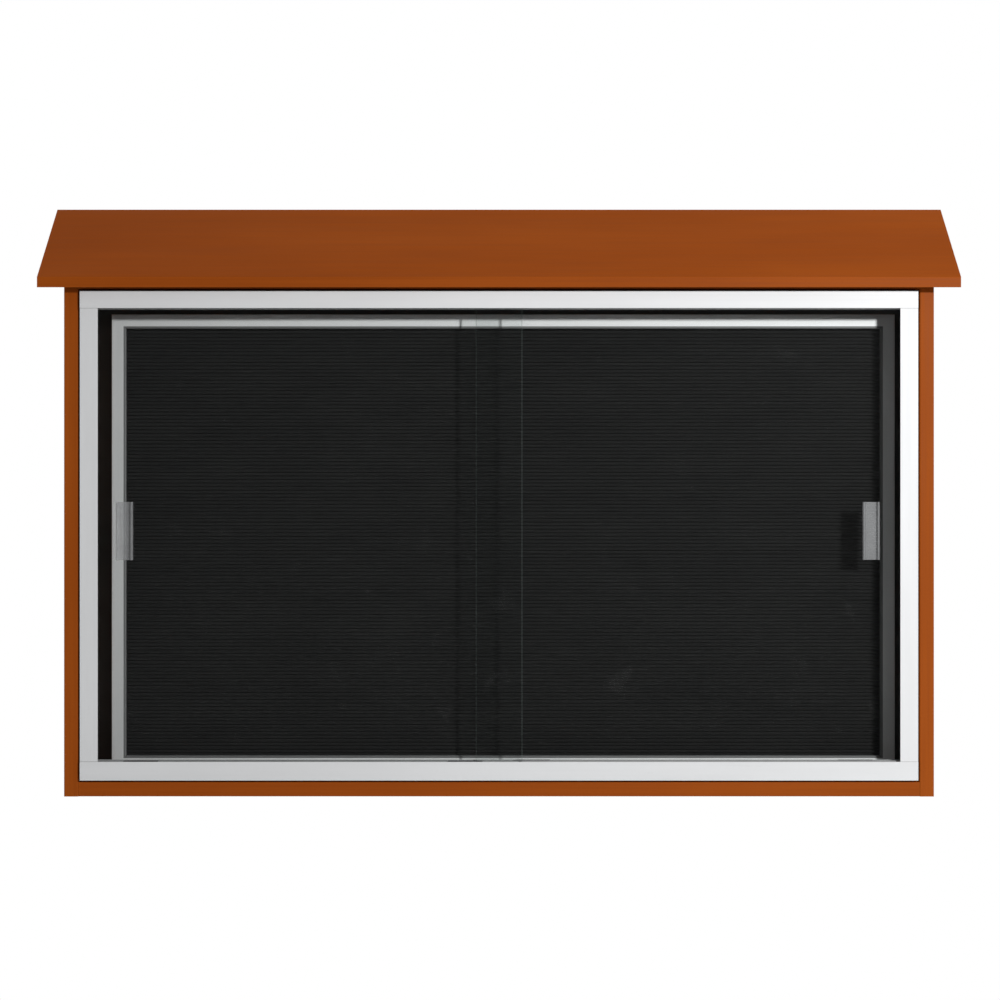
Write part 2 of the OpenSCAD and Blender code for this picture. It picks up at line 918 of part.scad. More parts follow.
module board_frame_right() { place_side(270, lb_w / 2) frame_side(lb_h); }

// Corner keys inside the frame, one in each mitre
module board_corner_keys() {
    inset = lb_wall + run_gap;
    key_w = lb_face - lb_lap - inset - 1;
    key_y = lb_y + lb_recess;
    half_w = lb_w / 2 - inset;
    half_h = lb_h / 2 - inset;
    color(steel)
        for (sx = [-1, 1])
            for (sz = [-1, 1])
                translate([lb_shift + sx * half_w, 0, lb_z + lb_h / 2 + sz * half_h])
                    mirror([sx < 0 ? 0 : 1, 0, 0])
                        mirror([0, 0, sz < 0 ? 0 : 1])
                            union() {
                                block([0, key_y, 0], [key_l, key_y + panel_t, key_w]);
                                block([0, key_y, 0], [key_w, key_y + panel_t, key_l]);
                            }
}

module cabinet_screws() {
    color(steel) {
        side_screws(-1);
        side_screws(1);
    }
}

module back_screws() {
    color(steel)
        back_row();
}

module frame_screws() {
    color(steel) {
        stile_screws(-1);
        stile_screws(1);
        rail_screws(frame_bottom + wall, 0);
        rail_screws(frame_top - wall, 180);
    }
}

module batten_screws() {
    color(steel) {
        batten_row(batten_low_z);
        batten_row(batten_high_z);
    }
}

module bracket_screws() {
    color(steel)
        for (side = [-1, 1]) {
            bracket_roof_screws(side);
            bracket_side_screws(side);
        }
}

module clip_screws() {
    color(steel) {
        rail_clip_screws();
        board_clip_screws();
    }
}

left_side_board();
right_side_board();
bottom_board();
top_board();
roof_board();
back_panel();
roof_cleat();
roof_brackets();
upper_track();
lower_track();
left_stile();
right_stile();
frame_packers();
upper_liner();
lower_liner();
left_bumper();
right_bumper();
left_glass();
right_glass();
left_pull();
right_pull();
left_glides();
right_glides();
top_batten();
bottom_batten();
hanger_rail();
board_clip();
board_pads();
letter_panel();
letter_backing();
board_frame_top();
board_frame_bottom();
board_frame_left();
board_frame_right();
board_corner_keys();
cabinet_screws();
back_screws();
frame_screws();
batten_screws();
bracket_screws();
clip_screws();
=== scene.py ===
"""Looks of the outdoor notice board: finishes, glass, screw heads, camera, lamps and floor.

All lengths are metres. The object's frame: x to the right, front towards -y, z up.
"""
import math

import bmesh
import bpy
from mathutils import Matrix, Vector

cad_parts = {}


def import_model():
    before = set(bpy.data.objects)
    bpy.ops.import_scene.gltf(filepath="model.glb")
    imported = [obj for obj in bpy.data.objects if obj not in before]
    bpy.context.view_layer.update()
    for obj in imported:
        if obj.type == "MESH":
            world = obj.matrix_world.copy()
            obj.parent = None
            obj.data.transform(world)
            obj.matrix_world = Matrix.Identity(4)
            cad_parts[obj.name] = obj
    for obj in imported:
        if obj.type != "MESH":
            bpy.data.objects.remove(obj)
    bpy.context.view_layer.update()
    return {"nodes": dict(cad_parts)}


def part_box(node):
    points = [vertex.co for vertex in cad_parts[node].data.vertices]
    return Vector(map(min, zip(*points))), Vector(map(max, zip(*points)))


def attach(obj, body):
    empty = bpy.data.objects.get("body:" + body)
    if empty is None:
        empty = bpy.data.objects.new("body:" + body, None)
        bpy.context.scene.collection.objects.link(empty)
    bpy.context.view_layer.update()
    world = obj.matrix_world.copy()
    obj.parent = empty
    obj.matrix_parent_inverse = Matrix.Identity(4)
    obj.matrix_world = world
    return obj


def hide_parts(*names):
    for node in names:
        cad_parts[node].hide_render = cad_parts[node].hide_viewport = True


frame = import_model()
nodes = frame["nodes"]

MM = 0.001
CABINET_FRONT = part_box("bottom_board")[0][1]
CABINET_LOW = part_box("bottom_board")[0][2]

# Camera: straight on, three metres away, a little above the middle of the cabinet
CAMERA_DISTANCE = 3.04
CAMERA_HEIGHT = 0.5193
CAMERA_RIGHT = 0.00175
LENS_MM = 62.5
SENSOR_MM = 36.0

# Softbox at the front right, and the even light of the room
KEY_AT = (2.25, -3.40, 1.17)
KEY_SIZE = 0.32
KEY_WATTS = 144.0
ROOM_LEVEL = 0.41

# Black card behind the camera: it keeps the room out of the glass and the metal
CARD_BEHIND = 0.45
CARD_LEFT = -9.0
CARD_RIGHT = 6.0
CARD_LOW = -6.0
CARD_HIGH = 6.0
CARD_COLOUR = (0.012, 0.012, 0.012)

# Floor below the board, which hangs at eye level
FLOOR_DROP = 0.80
FLOOR_HALF = 3.2
FLOOR_BEHIND = 1.2
FLOOR_COLOUR = (0.86, 0.86, 0.86)

# Directions that a grain or a drawing line runs in, as the index of the axis
ALONG_X, ALONG_Z = 0, 2

# Recycled lumber: three tones of its clouds, its specks, and its edges lightened as wear and as painted
# highlight, in linear light
LUMBER_TONES = ((0.224, 0.044, 0.0016), (0.247, 0.050, 0.0022), (0.270, 0.057, 0.0034))
LUMBER_SPECK = (0.19, 0.038, 0.002, 1.0)
LUMBER_WORN_HIGHLIGHT = (0.40, 0.115, 0.018, 1.0)
LUMBER_EDGE = 2.5 * MM

# Face frame, and how far painted shade reaches out of the joints and inner corners of the metal frames
FRAME_ALLOY = (0.69, 0.697, 0.705)
FRAME_ROUGH = 0.68
FRAME_METAL = 0.4
JOINT_SHADE_REACH = 1.6 * MM
JOINT_SHADE_COLOUR = (0.10, 0.095, 0.085, 1.0)

# Plain finishes
CLIP_ALLOY = (0.66, 0.665, 0.67)
STEEL = (0.58, 0.58, 0.59)
BACK_SHEET = (0.036, 0.039, 0.034)
LINER_BLACK = (0.020, 0.020, 0.021)
NYLON_BLACK = (0.035, 0.035, 0.036)
RUBBER_BLACK = (0.014, 0.014, 0.014)
PINE_LIGHT, PINE_DARK = (0.45, 0.28, 0.15), (0.32, 0.18, 0.09)
HARDBOARD_LIGHT, HARDBOARD_DARK = (0.10, 0.060, 0.035), (0.07, 0.042, 0.025)

# Felt, and how deep in its grooves the painted light lies that lifts their shade
FELT_DARK = (0.0142, 0.0142, 0.0143)
FELT_LIGHT = (0.0188, 0.0188, 0.0186)
GROOVE_PAINTED_LIGHT = (0.029, 0.0285, 0.028, 1.0)
GROOVE_LIGHT_COVER = 0.9
FELT_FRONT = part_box("letter_panel")[0][1]
GROOVE_LIGHT_FROM = 1.0 * MM
GROOVE_LIGHT_TO = 1.4 * MM

# Letter board's frame: colour, then roughness and share of metal, and the painted shade along its inner
# edges
BOARD_ALLOY = (0.98, 0.98, 0.98)
ROW_GLOSS = (0.76, 1.0)
POST_GLOSS = (0.66, 0.92)
EDGE_SHADE_WIDTH = 4.5 * MM
EDGE_SHADE_BLEND = 0.8 * MM
EDGE_SHADE_TONE = 0.30

# Glass
GLASS_CORNER = 2 * MM
GLASS_ARRIS = 0.5 * MM
GLASS_IOR = 1.5
GLASS_TINT = (0.975, 0.983, 0.981, 1.0)
SMUDGE_COVER = 0.006
CORNER_STEPS = 5

# Finger pulls, and the share of the light that each surface of them stops
PULL_GREY = (0.25, 0.255, 0.26)
PULL_COVER = 0.52

# Screws: their radii as shares of the radius of the head, and their heads and threads
SIDE_SHANK = 0.53
BACK_SHANK = 0.5
DISH_RIM = 0.80
HEAD_RIM = 0.96
RECESS_FLOOR = 0.9
TIP_WIDTH = 0.1
RECESS_POINTS = 6
RECESS_SHARE = 0.48
RECESS_WAVE = 0.14
RECESS_DEPTH = 1.6 * MM
HEAD_DISH = 0.25 * MM
HEAD_STEPS = 36
THREAD_PITCH = 2.2 * MM
THREAD_HEIGHT = 0.35 * MM
THREAD_START = 0.35
TIP_SHARE = 1.6


def new_material(name):
    """A node material with its tree and its Principled shader."""
    mat = bpy.data.materials.new(name)
    mat.use_nodes = True
    tree = mat.node_tree
    return mat, tree, tree.nodes["Principled BSDF"]


def node(tree, kind, **values):
    """Adds a node and sets its properties."""
    made = tree.nodes.new(kind)
    for key, value in values.items():
        setattr(made, key, value)
    return made


def feed(tree, socket, value):
    """Gives a socket a link or a plain value."""
    if isinstance(value, bpy.types.NodeSocket):
        tree.links.new(value, socket)
    else:
        socket.default_value = value


def place(tree, scale=(1, 1, 1)):
    """The object's own coordinates in metres, scaled."""
    coords = node(tree, "ShaderNodeTexCoord")
    mapping = node(tree, "ShaderNodeMapping")
    mapping.inputs["Scale"].default_value = scale
    tree.links.new(coords.outputs["Object"], mapping.inputs["Vector"])
    return mapping.outputs["Vector"]


def along(axis, length_scale, cross_scale):
    """Scale that stretches a texture along one axis."""
    return tuple(length_scale if i == axis else cross_scale for i in range(3))


def noise(tree, scale, detail=4.0, rough=0.55, distortion=0.0):
    """Noise in the object's coordinates. scale holds the waves per metre along each axis."""
    made = node(tree, "ShaderNodeTexNoise")
    made.inputs["Scale"].default_value = 1.0
    made.inputs["Detail"].default_value = detail
    made.inputs["Roughness"].default_value = rough
    made.inputs["Distortion"].default_value = distortion
    tree.links.new(place(tree, scale), made.inputs["Vector"])
    return made.outputs["Fac"]


def ramp(tree, value, stops):
    """Maps a value to a colour. stops is a list of (place, colour)."""
    made = node(tree, "ShaderNodeValToRGB")
    band = made.color_ramp
    while len(band.elements) < len(stops):
        band.elements.new(0.5)
    for element, (at, colour) in zip(band.elements, stops):
        element.position = at
        element.color = (*colour, 1.0)
    tree.links.new(value, made.inputs["Fac"])
    return made.outputs["Color"]


def spread(tree, value, low, high, from_low=0.3, from_high=0.7):
    """Maps a value from one range to another."""
    made = node(tree, "ShaderNodeMapRange")
    made.inputs["From Min"].default_value = from_low
    made.inputs["From Max"].default_value = from_high
    made.inputs["To Min"].default_value = low
    made.inputs["To Max"].default_value = high
    tree.links.new(value, made.inputs["Value"])
    return made.outputs["Result"]


def blend(tree, mode, amount, first, second):
    """Mixes two colours. amount and the colours are sockets or plain values."""
    made = node(tree, "ShaderNodeMix", data_type="RGBA", blend_type=mode)
    for name, value in (("Factor", amount), ("A", first), ("B", second)):
        socket = [s for s in made.inputs if s.name == name and s.enabled][0]
        feed(tree, socket, value)
    return [s for s in made.outputs if s.enabled][0]


def combine(tree, operation, first, second):
    """Works out one value from two."""
    made = node(tree, "ShaderNodeMath", operation=operation)
    feed(tree, made.inputs[0], first)
    feed(tree, made.inputs[1], second)
    return made.outputs["Value"]


def bump(tree, shader, height, strength, distance):
    """Makes a shader's surface follow a height."""
    made = node(tree, "ShaderNodeBump")
    made.inputs["Strength"].default_value = strength
    made.inputs["Distance"].default_value = distance
    tree.links.new(height, made.inputs["Height"])
    tree.links.new(made.outputs["Normal"], shader.inputs["Normal"])


def worn_highlit_edges(tree, radius, rough_patches):
    """1 on the edges of a form and 0 elsewhere, broken up by a noise."""
    bevel = node(tree, "ShaderNodeBevel", samples=4)
    bevel.inputs["Radius"].default_value = radius
    flat = node(tree, "ShaderNodeNewGeometry")
    angle = node(tree, "ShaderNodeVectorMath", operation="DOT_PRODUCT")
    tree.links.new(bevel.outputs["Normal"], angle.inputs[0])
    tree.links.new(flat.outputs["True Normal"], angle.inputs[1])
    edge = spread(tree, angle.outputs["Value"], 1.0, 0.0, 0.80, 0.985)
    patches = spread(tree, noise(tree, (rough_patches,) * 3, 3.0), 0.25, 1.0, 0.35, 0.65)
    return combine(tree, "MULTIPLY", edge, patches)


def occlusion_shade(tree, reach):
    """Painted shade mask: 1 in inner corners and joints, where shade falls, 0 on open surfaces."""
    shade = node(tree, "ShaderNodeAmbientOcclusion", samples=8)
    shade.inputs["Distance"].default_value = reach
    return spread(tree, shade.outputs["AO"], 1.0, 0.0, 0.45, 0.95)


def lumber(name, axis):
    """Recycled plastic lumber: brushed grain along the board, clouds of colour, specks, and edges
    lightened as wear and as painted highlight.
    """
    mat, tree, shader = new_material(name)
    grain = noise(tree, along(axis, 3.0, 260.0), 6.0, 0.62)
    clouds = noise(tree, along(axis, 1.6, 9.0), 3.0)
    pits = noise(tree, along(axis, 260.0, 520.0), 2.0)
    base = ramp(tree, clouds, list(zip((0.30, 0.52, 0.72), LUMBER_TONES)))
    streaks = ramp(tree, grain, [(0.32, (0.86, 0.83, 0.80)), (0.60, (1.04, 1.04, 1.05))])
    colour = blend(tree, "MULTIPLY", 0.55, base, streaks)
    specks = spread(tree, pits, 0.0, 0.5, 0.66, 0.74)
    colour = blend(tree, "MIX", specks, colour, LUMBER_SPECK)
    # Lighter edges: partly wear, partly a painted highlight along every arris
    edges = combine(tree, "MULTIPLY", worn_highlit_edges(tree, LUMBER_EDGE, 60.0), 0.35)
    colour = blend(tree, "MIX", edges, colour, LUMBER_WORN_HIGHLIGHT)
    tree.links.new(colour, shader.inputs["Base Color"])
    tree.links.new(spread(tree, grain, 0.50, 0.66), shader.inputs["Roughness"])
    shader.inputs["Specular IOR Level"].default_value = 0.08
    height = combine(tree, "SUBTRACT", grain, spread(tree, pits, 0.0, 0.35, 0.60, 0.72))
    bump(tree, shader, height, 0.35, 0.4 * MM)
    return mat


def alloy(name, axis, colour, rough, metal=1.0, line_bump=0.12):
    """Satin anodised extrusion: drawing lines along its length and faint clouds in its gloss."""
    mat, tree, shader = new_material(name)
    lines = noise(tree, along(axis, 1.2, 900.0), 3.0, 0.6)
    clouds = noise(tree, along(axis, 4.0, 30.0), 3.0)
    scuffs = noise(tree, along(axis, 25.0, 160.0), 4.0, 0.7)
    dull = tuple(c * 0.95 for c in colour)
    base = ramp(tree, clouds, [(0.3, dull), (0.7, colour)])
    scuffed = combine(tree, "MULTIPLY", spread(tree, scuffs, 0.0, 1.0, 0.64, 0.74), 0.25)
    base = blend(tree, "MIX", scuffed, base, (*(c * 0.8 for c in colour), 1.0))
    # Painted shade: joints and inner corners darkened where ambient occlusion finds them
    joint_shade = combine(tree, "MULTIPLY", occlusion_shade(tree, JOINT_SHADE_REACH), 0.7)
    base = blend(tree, "MIX", joint_shade, base, JOINT_SHADE_COLOUR)
    tree.links.new(base, shader.inputs["Base Color"])
    rough_lines = spread(tree, lines, rough - 0.05, rough + 0.06)
    tree.links.new(rough_lines, shader.inputs["Roughness"])
    shader.inputs["Metallic"].default_value = metal
    bump(tree, shader, lines, line_bump, 0.08 * MM)
    return mat


def edge_shaded_alloy(name, axis, across, rough, metal, low_side, high_side):
    """Alloy of two opposite frame sides, with painted shade along the edges that face each other."""
    mat = alloy(name, axis, BOARD_ALLOY, rough, metal)
    tree = mat.node_tree
    shader = tree.nodes["Principled BSDF"]
    low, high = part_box(low_side)[1][across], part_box(high_side)[0][across]
    axes = node(tree, "ShaderNodeSeparateXYZ")
    tree.links.new(place(tree), axes.inputs["Vector"])
    offset = combine(tree, "SUBTRACT", axes.outputs[across], (low + high) / 2)
    reach = (high - low) / 2 + EDGE_SHADE_WIDTH
    # Painted shade: a dark band along the inner edges of the frame, where its inner lip would fall in
    # shade
    edge_shade = spread(
        tree, combine(tree, "ABSOLUTE", offset, 0.0), 1.0, 0.0, reach - EDGE_SHADE_BLEND, reach,
    )
    plain = shader.inputs["Base Color"].links[0].from_socket
    shade_tone = (EDGE_SHADE_TONE, EDGE_SHADE_TONE, EDGE_SHADE_TONE, 1.0)
    tree.links.new(blend(tree, "MULTIPLY", edge_shade, plain, shade_tone), shader.inputs["Base Color"])
    return mat


def felt(name):
    """Black felt over the ribs of the letter panel: short fibres, lint and a soft sheen."""
    mat, tree, shader = new_material(name)
    fibres = noise(tree, (900.0, 900.0, 900.0), 3.0, 0.7)
    mottle = noise(tree, (7.0, 7.0, 22.0), 4.0, 0.6)
    base = ramp(tree, mottle, [(0.30, FELT_DARK), (0.75, FELT_LIGHT)])
    lint = ramp(tree, fibres, [(0.45, (0.80, 0.80, 0.80)), (0.80, (1.45, 1.45, 1.45))])
    colour = blend(tree, "MULTIPLY", 0.8, base, lint)
    depth = node(tree, "ShaderNodeSeparateXYZ")
    tree.links.new(place(tree), depth.inputs["Vector"])
    # Painted light: colour lightened deep in the grooves, which lifts their shade
    painted_from, painted_to = FELT_FRONT + GROOVE_LIGHT_FROM, FELT_FRONT + GROOVE_LIGHT_TO
    painted_light = spread(tree, depth.outputs["Y"], 0.0, GROOVE_LIGHT_COVER, painted_from, painted_to)
    colour = blend(tree, "MIX", painted_light, colour, GROOVE_PAINTED_LIGHT)
    tree.links.new(colour, shader.inputs["Base Color"])
    shader.inputs["Roughness"].default_value = 0.95
    shader.inputs["Specular IOR Level"].default_value = 0.06
    shader.inputs["Sheen Weight"].default_value = 0.02
    shader.inputs["Sheen Roughness"].default_value = 0.5
    bump(tree, shader, fibres, 0.6, 0.4 * MM)
    return mat


def moulded(name, colour, rough, grain=600.0, depth=0.12 * MM, shift=0.12, spec=0.4):
    """Moulded or sheet material with a fine even grain and slightly uneven colour."""
    mat, tree, shader = new_material(name)
    fine = noise(tree, (grain, grain, grain), 3.0, 0.6)
    clouds = noise(tree, (18.0, 18.0, 18.0), 3.0)
    low = tuple(c * (1 - shift) for c in colour)
    high = tuple(min(c * (1 + shift), 1.0) for c in colour)
    tree.links.new(ramp(tree, clouds, [(0.3, low), (0.7, high)]), shader.inputs["Base Color"])
    tree.links.new(spread(tree, fine, rough - 0.06, rough + 0.06), shader.inputs["Roughness"])
    shader.inputs["Specular IOR Level"].default_value = spec
    bump(tree, shader, fine, 0.3, depth)
    return mat


def frosted(name):
    """Frosted grey plastic of the finger pulls, through which the parts behind show faintly."""
    mat = moulded(name, PULL_GREY, 0.42, 700.0, 0.03 * MM, 0.10)
    mat.node_tree.nodes["Principled BSDF"].inputs["Alpha"].default_value = PULL_COVER
    return mat


def timber(name, axis, light, dark):
    """Planed softwood or hardboard: growth lines along its length."""
    mat, tree, shader = new_material(name)
    rings = noise(tree, along(axis, 2.0, 70.0), 5.0, 0.6, 0.6)
    pores = noise(tree, along(axis, 25.0, 700.0), 3.0, 0.6)
    base = ramp(tree, rings, [(0.32, dark), (0.66, light)])
    fleck = ramp(tree, pores, [(0.35, (0.8, 0.78, 0.75)), (0.6, (1.0, 1.0, 1.0))])
    tree.links.new(blend(tree, "MULTIPLY", 0.6, base, fleck), shader.inputs["Base Color"])
    shader.inputs["Roughness"].default_value = 0.7
    bump(tree, shader, pores, 0.25, 0.2 * MM)
    return mat


def clear_glass(name):
    """Clear float glass: a mirror as strong as its Fresnel reflection, a faint tint and smudges."""
    mat, tree, shader = new_material(name)
    tree.nodes.remove(shader)
    smears = noise(tree, (9.0, 9.0, 4.0), 5.0, 0.6, 0.8)
    mirror = node(tree, "ShaderNodeBsdfGlossy")
    tree.links.new(spread(tree, smears, 0.0, 0.06, 0.45, 0.75), mirror.inputs["Roughness"])
    clear = node(tree, "ShaderNodeBsdfTransparent")
    clear.inputs["Color"].default_value = GLASS_TINT
    fresnel = node(tree, "ShaderNodeFresnel")
    side = node(tree, "ShaderNodeNewGeometry")
    ior = spread(tree, side.outputs["Backfacing"], GLASS_IOR, 1 / GLASS_IOR, 0.0, 1.0)
    tree.links.new(ior, fresnel.inputs["IOR"])
    mix = node(tree, "ShaderNodeMixShader")
    tree.links.new(fresnel.outputs["Fac"], mix.inputs["Fac"])
    tree.links.new(clear.outputs["BSDF"], mix.inputs[1])
    tree.links.new(mirror.outputs["BSDF"], mix.inputs[2])
    marks = noise(tree, (20.0, 20.0, 14.0), 4.0, 0.6, 0.4)
    film = node(tree, "ShaderNodeBsdfDiffuse")
    marked = node(tree, "ShaderNodeMixShader")
    tree.links.new(spread(tree, marks, 0.0, SMUDGE_COVER, 0.64, 0.76), marked.inputs["Fac"])
    tree.links.new(mix.outputs["Shader"], marked.inputs[1])
    tree.links.new(film.outputs["BSDF"], marked.inputs[2])
    tree.links.new(marked.outputs["Shader"], tree.nodes["Material Output"].inputs["Surface"])
    return mat


def ground_glass(name):
    """Ground edges of the panes: pale green, matt and half clear."""
    mat, tree, shader = new_material(name)
    grit = noise(tree, (1500.0, 1500.0, 1500.0), 3.0, 0.7)
    base = ramp(tree, grit, [(0.3, (0.06, 0.09, 0.08)), (0.7, (0.09, 0.13, 0.12))])
    tree.links.new(base, shader.inputs["Base Color"])
    tree.links.new(spread(tree, grit, 0.42, 0.6), shader.inputs["Roughness"])
    shader.inputs["Transmission Weight"].default_value = 0.6
    bump(tree, shader, grit, 0.4, 0.1 * MM)
    return mat


def dress(material, *names):
    """Gives CAD nodes their material."""
    for name in names:
        data = nodes[name].data
        if not data.materials:
            data.materials.append(material)
        for i in range(len(data.materials)):
            data.materials[i] = material


def new_piece(name, mesh, materials, body, slot, *replaced):
    """Adds a finished bmesh to the scene as a piece that rides on a body."""
    data = bpy.data.meshes.new(name)
    bmesh.ops.recalc_face_normals(mesh, faces=mesh.faces)
    mesh.to_mesh(data)
    mesh.free()
    for material in materials:
        data.materials.append(material)
    made = bpy.data.objects.new(name, data)
    bpy.context.scene.collection.objects.link(made)
    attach(made, body)
    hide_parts(*replaced)
    return made


def rounded_outline(low, high, radius):
    """Points of a rectangle with round corners, as (x, z)."""
    points = []
    corners = [(high[0], high[2]), (low[0], high[2]), (low[0], low[2]), (high[0], low[2])]
    for quarter, (x, z) in enumerate(corners):
        cx = x - radius if x == high[0] else x + radius
        cz = z - radius if z == high[2] else z + radius
        for step in range(CORNER_STEPS):
            turn = math.pi / 2 * (quarter + step / (CORNER_STEPS - 1))
            points.append((cx + radius * math.cos(turn), cz + radius * math.sin(turn)))
    return points


def bridge(mesh, rings, material_index=0):
    """Joins rings of vertices that have the same count."""
    for first, second in zip(rings, rings[1:]):
        count = len(first)
        for i in range(count):
            j = (i + 1) % count
            face = mesh.faces.new((first[i], first[j], second[j], second[i]))
            face.material_index = material_index


def pane(name, body, clear, ground):
    """Pane with ground edges and a small arris round both faces, in the place of its CAD node."""
    low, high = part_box(name)
    arris = GLASS_ARRIS
    front, back = low[1], high[1]
    mesh = bmesh.new()
    rings = []
    for y, inset in ((front, arris), (front + arris, 0.0), (back - arris, 0.0), (back, arris)):
        inner_low = [low[0] + inset, y, low[2] + inset]
        inner_high = [high[0] - inset, y, high[2] - inset]
        outline = rounded_outline(inner_low, inner_high, GLASS_CORNER - inset)
        rings.append([mesh.verts.new((x, y, z)) for x, z in outline])
    bridge(mesh, rings, 1)
    mesh.faces.new(rings[0])
    mesh.faces.new(rings[-1])
    return new_piece(name + "_ground", mesh, (clear, ground), body, "door_glass", name)


def islands(name):
    """Boxes of the separate solids of a CAD node, as (lowest corner, highest corner)."""
    mesh = bmesh.new()
    mesh.from_mesh(nodes[name].data)
    bmesh.ops.remove_doubles(mesh, verts=mesh.verts, dist=0.01 * MM)
    left = set(mesh.verts)
    boxes = []
    while left:
        first = left.pop()
        group, front = [first], [first]
        while front:
            vert = front.pop()
            for edge in vert.link_edges:
                other = edge.other_vert(vert)
                if other in left:
                    left.remove(other)
                    group.append(other)
                    front.append(other)
        low = Vector([min(v.co[i] for v in group) for i in range(3)])
        high = Vector([max(v.co[i] for v in group) for i in range(3)])
        boxes.append((low, high))
    mesh.free()
    return sorted(boxes, key=lambda b: tuple(round(c, 4) for c in b[0]))


def ring(mesh, centre, right, up, radius_at):
    """Ring of vertices round a point. radius_at gives the radius for an angle."""
    made = []
    for i in range(HEAD_STEPS):
        turn = 2 * math.pi * i / HEAD_STEPS
        out = right * math.cos(turn) + up * math.sin(turn)
        made.append(mesh.verts.new(centre + out * radius_at(turn)))
    return made


def add_screw(mesh, centre, axis, head_r, shank_r, length):
    """Countersunk screw with a star recess and a coarse thread. axis points out of the head."""
    right = axis.orthogonal().normalized()
    up = axis.cross(right)

    def star(scale):
        wave = RECESS_WAVE
        return lambda turn: scale * head_r * (RECESS_SHARE + wave * math.cos(RECESS_POINTS * turn))

    def circle(radius):
        return lambda turn: radius

    cone = head_r - shank_r
    steps = [
        (RECESS_DEPTH, star(RECESS_FLOOR)), (HEAD_DISH, star(1.0)),
        (HEAD_DISH, circle(head_r * DISH_RIM)), (0.0, circle(head_r * HEAD_RIM)),
        (HEAD_DISH, circle(head_r)), (cone, circle(shank_r)),
    ]
    thread_from = cone + (length - cone) * THREAD_START
    thread_to = length - TIP_SHARE * shank_r
    turns = int((thread_to - thread_from) / THREAD_PITCH)
    for i in range(turns):
        at = thread_from + i * THREAD_PITCH
        steps.append((at, circle(shank_r - THREAD_HEIGHT)))
        steps.append((at + THREAD_PITCH / 2, circle(shank_r)))
    steps.append((thread_to, circle(shank_r - THREAD_HEIGHT)))
    steps.append((length, circle(shank_r * TIP_WIDTH)))
    rings = [ring(mesh, centre - axis * depth, right, up, radius) for depth, radius in steps]
    bridge(mesh, rings)
    mesh.faces.new(rings[0])
    mesh.faces.new(rings[-1])


def screw_set(name, axis_of, head_r, shank_r, material):
    """Screws in the place of a CAD node. axis_of gives the outward direction for a solid's box."""
    mesh = bmesh.new()
    for low, high in islands(name):
        axis = Vector(axis_of(low, high))
        middle = (low + high) / 2
        half = Vector([(high[i] - low[i]) / 2 * axis[i] for i in range(3)])
        add_screw(mesh, middle + half, axis, head_r, shank_r, 2 * half.length)
    return new_piece(name + "_driven", mesh, (material,), "cabinet", "screw_steel", name)


def head_radius(name):
    """Radius of the widest part of the first screw of a CAD node."""
    low, high = islands(name)[0]
    return sorted(high - low)[0] / 2


def finishes():
    """The finish of every CAD node that shows as it is."""
    dress(lumber("lumber_across", ALONG_X), "bottom_board", "top_board", "roof_cleat", "roof_board")
    dress(lumber("lumber_upright", ALONG_Z), "left_side_board", "right_side_board")
    dress(moulded("back_sheet", BACK_SHEET, 0.62, spec=0.3), "back_panel")
    satin = (FRAME_ALLOY, FRAME_ROUGH, FRAME_METAL)
    dress(alloy("frame_alloy_across", ALONG_X, *satin), "upper_track", "lower_track")
    dress(alloy("frame_alloy_upright", ALONG_Z, *satin), "left_stile", "right_stile")
    rows = ("board_frame_bottom", "board_frame_top")
    dress(edge_shaded_alloy("board_alloy_across", ALONG_X, ALONG_Z, *ROW_GLOSS, *rows), *rows)
    posts = ("board_frame_left", "board_frame_right")
    dress(edge_shaded_alloy("board_alloy_upright", ALONG_Z, ALONG_X, *POST_GLOSS, *posts), *posts)
    clip = alloy("clip_alloy", ALONG_X, CLIP_ALLOY, 0.38)
    dress(clip, "hanger_rail", "board_clip", "roof_brackets")
    black = moulded("liner_plastic", LINER_BLACK, 0.45)
    dress(black, "upper_liner", "lower_liner", "frame_packers")
    dress(moulded("glide_nylon", NYLON_BLACK, 0.40), "left_glides", "right_glides")
    rubber = moulded("bumper_rubber", RUBBER_BLACK, 0.75, 400.0)
    dress(rubber, "left_bumper", "right_bumper", "board_pads")
    dress(frosted("pull_plastic"), "left_pull", "right_pull")
    dress(felt("letter_felt"), "letter_panel")
    pine = timber("batten_wood", ALONG_X, PINE_LIGHT, PINE_DARK)
    dress(pine, "top_batten", "bottom_batten")
    dress(timber("hardboard", ALONG_X, HARDBOARD_LIGHT, HARDBOARD_DARK), "letter_backing")
    steel = alloy("screw_steel", ALONG_X, STEEL, 0.34, 1.0, 0.05)
    dress(
        steel, "board_corner_keys", "cabinet_screws", "back_screws", "frame_screws",
        "batten_screws", "bracket_screws", "clip_screws",
    )
    return steel


def detail_pieces(steel):
    """Panes with ground edges, and the screws whose heads show on the sides and the back."""
    clear, ground = clear_glass("door_glass"), ground_glass("glass_edge")
    dress(clear, "left_glass", "right_glass")
    pane("left_glass", "left_door", clear, ground)
    pane("right_glass", "right_door", clear, ground)
    side_r = head_radius("cabinet_screws")
    back_r = head_radius("back_screws")

    def outward(low, high):
        return math.copysign(1, low.x + high.x), 0, 0

    screw_set("cabinet_screws", outward, side_r, side_r * SIDE_SHANK, steel)
    screw_set("back_screws", lambda low, high: (0, 1, 0), back_r, back_r * BACK_SHANK, steel)


def camera():
    """The photograph's camera, level and square to the board."""
    data = bpy.data.cameras.new("camera")
    data.lens = LENS_MM
    data.sensor_width = SENSOR_MM
    data.sensor_fit = "HORIZONTAL"
    made = bpy.data.objects.new("camera", data)
    bpy.context.scene.collection.objects.link(made)
    made.location = (CAMERA_RIGHT, CABINET_FRONT - CAMERA_DISTANCE, CABINET_LOW + CAMERA_HEIGHT)
    made.rotation_euler = (math.radians(90), 0, 0)
    bpy.context.scene.camera = made


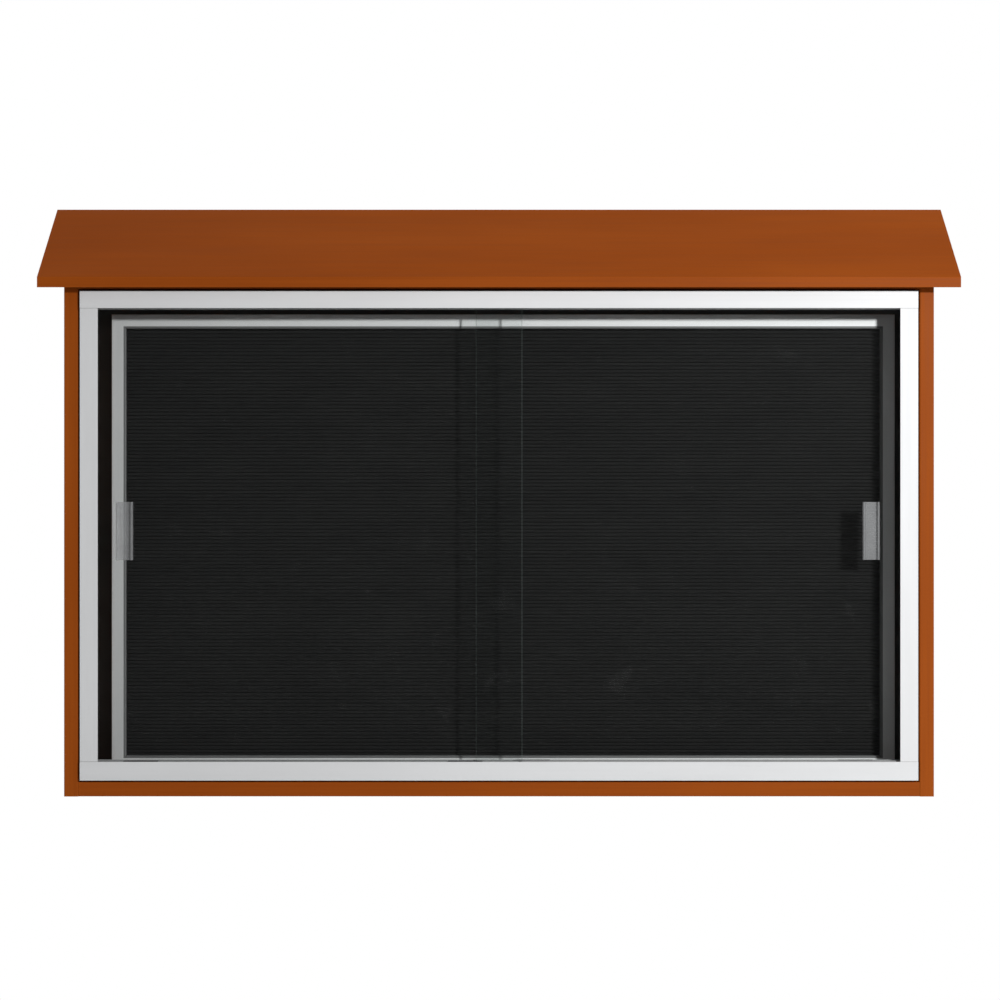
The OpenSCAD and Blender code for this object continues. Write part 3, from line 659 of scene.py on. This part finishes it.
def softbox(name, at, target, size, watts):
    """A round soft lamp that is aimed at a point."""
    data = bpy.data.lights.new(name, "AREA")
    data.shape = "DISK"
    data.size = size
    data.energy = watts
    made = bpy.data.objects.new(name, data)
    bpy.context.scene.collection.objects.link(made)
    made.location = at
    aim = Vector(target) - Vector(at)
    made.rotation_euler = aim.to_track_quat("-Z", "Y").to_euler()


def world():
    """An even studio room. The camera, gloss and glass see it as a white backdrop."""
    made = bpy.data.worlds.new("studio")
    bpy.context.scene.world = made
    made.use_nodes = True
    tree = made.node_tree
    tree.nodes.clear()
    path = node(tree, "ShaderNodeLightPath")
    light = node(tree, "ShaderNodeBackground")
    light.inputs["Color"].default_value = (1.0, 1.0, 1.0, 1.0)
    light.inputs["Strength"].default_value = ROOM_LEVEL
    backdrop = node(tree, "ShaderNodeBackground")
    backdrop.inputs["Color"].default_value = (1.0, 1.0, 1.0, 1.0)
    backdrop.inputs["Strength"].default_value = 1.0
    seen = combine(tree, "MAXIMUM", path.outputs["Is Camera Ray"], path.outputs["Is Glossy Ray"])
    seen = combine(tree, "MAXIMUM", seen, path.outputs["Is Transmission Ray"])
    mix = node(tree, "ShaderNodeMixShader")
    out = node(tree, "ShaderNodeOutputWorld")
    tree.links.new(seen, mix.inputs["Fac"])
    tree.links.new(light.outputs["Background"], mix.inputs[1])
    tree.links.new(backdrop.outputs["Background"], mix.inputs[2])
    tree.links.new(mix.outputs["Shader"], out.inputs["Surface"])


def studio_sheet(name, corners, colour):
    """A flat sheet of the studio, which isn't part of the object."""
    mesh = bpy.data.meshes.new(name)
    mesh.from_pydata(corners, [], [(0, 1, 2, 3)])
    made = bpy.data.objects.new(name, mesh)
    bpy.context.scene.collection.objects.link(made)
    mat, tree, shader = new_material(name + "_finish")
    shader.inputs["Base Color"].default_value = (*colour, 1.0)
    shader.inputs["Roughness"].default_value = 0.9
    mesh.materials.append(mat)
    return made


def floor():
    """Pale floor below the board. It carries the shadow, and the metal doesn't mirror it."""
    z = CABINET_LOW - FLOOR_DROP
    h = FLOOR_HALF
    corners = [(-h, -h, z), (h, -h, z), (h, FLOOR_BEHIND, z), (-h, FLOOR_BEHIND, z)]
    studio_sheet("floor", corners, FLOOR_COLOUR).visible_glossy = False


def dark_card():
    """Black velvet behind the camera, as hung before glass. Only gloss and glass see it."""
    y = CABINET_FRONT - CAMERA_DISTANCE - CARD_BEHIND
    corners = [
        (CARD_LEFT, y, CARD_LOW), (CARD_RIGHT, y, CARD_LOW),
        (CARD_RIGHT, y, CARD_HIGH), (CARD_LEFT, y, CARD_HIGH),
    ]
    card = studio_sheet("dark_card", corners, CARD_COLOUR)
    card.visible_camera = False
    card.visible_diffuse = False
    card.visible_shadow = False


detail_pieces(finishes())
camera()
world()
floor()
dark_card()
softbox("key", KEY_AT, (0, 0, 0), KEY_SIZE, KEY_WATTS)
bpy.context.scene.view_settings.view_transform = "Standard"
